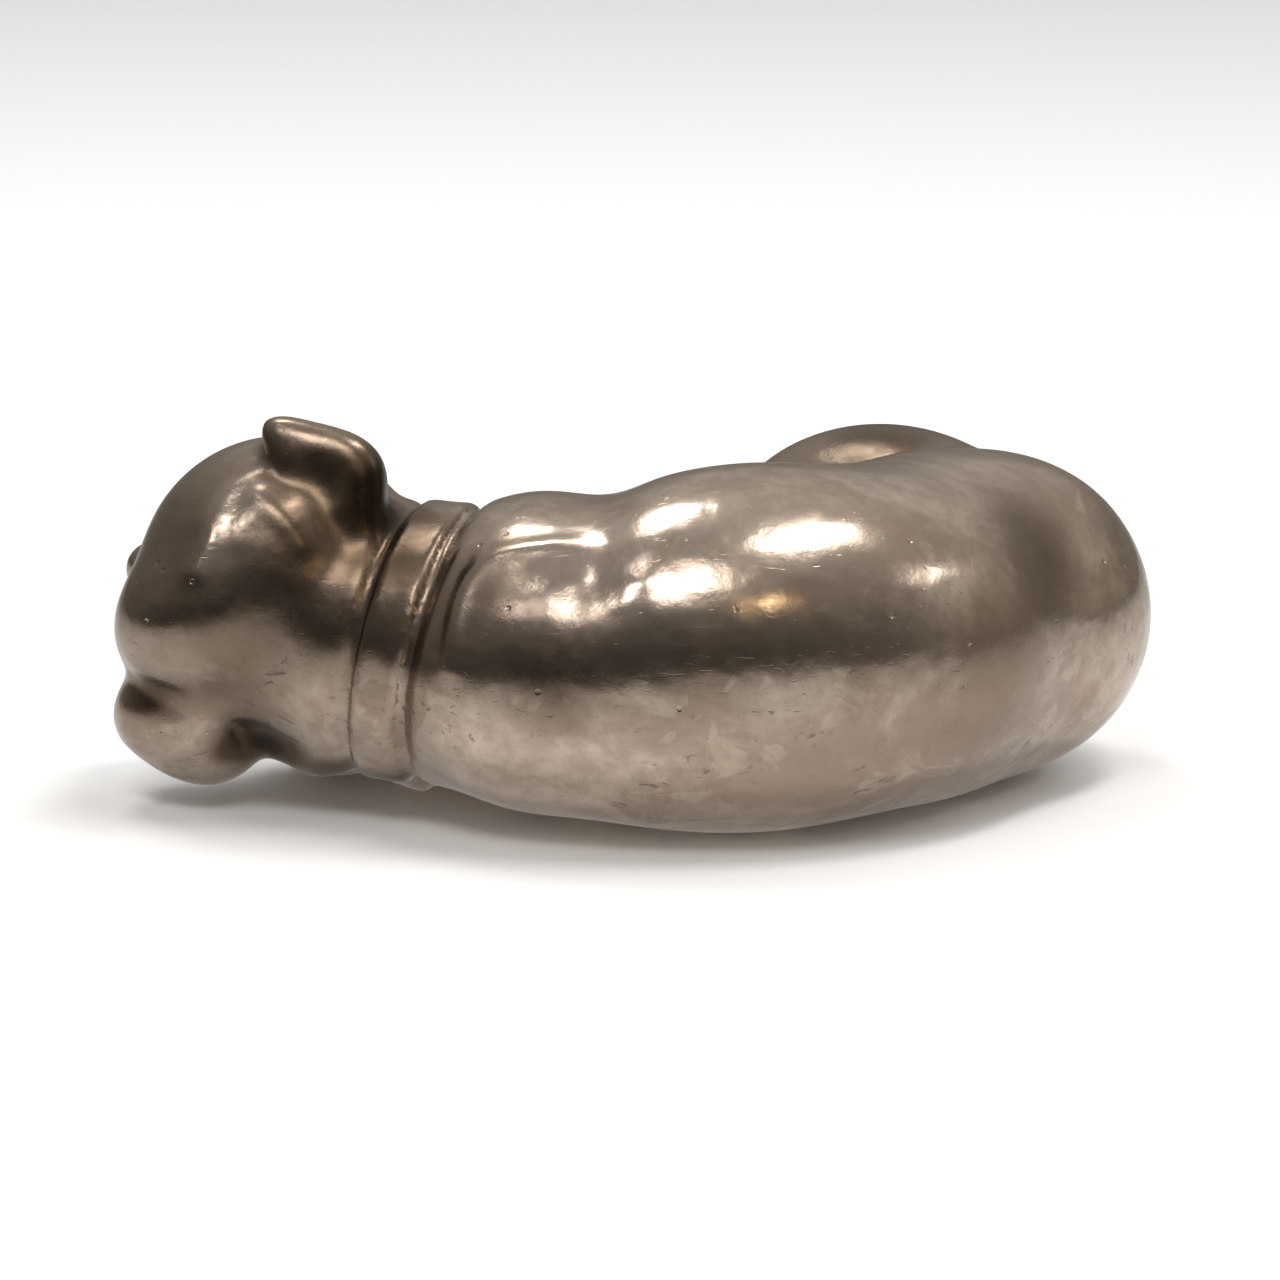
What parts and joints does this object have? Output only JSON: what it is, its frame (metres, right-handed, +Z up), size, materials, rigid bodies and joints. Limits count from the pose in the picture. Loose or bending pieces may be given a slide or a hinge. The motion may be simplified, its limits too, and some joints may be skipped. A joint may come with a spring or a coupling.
{
  "type": "dog figurine",
  "caption": "Solid tabletop figurine of a young dog lying curled up asleep with a collar, resting flat on its underside.",
  "frame": {"origin": "middle of the outline seen from above, on the ground plane", "axes": "+X towards the rump, -X towards the head, -Y towards the back, +Y where the curl of the body opens, +Z up"},
  "size_m": [0.09, 0.056, 0.0341],
  "materials": {
    "silvered_bronze": "polished, worn and tarnished silvering over a bronze casting"
  },
  "bodies": {
    "root": {"dog_figurine": "silvered_bronze"}
  },
  "joints": []
}
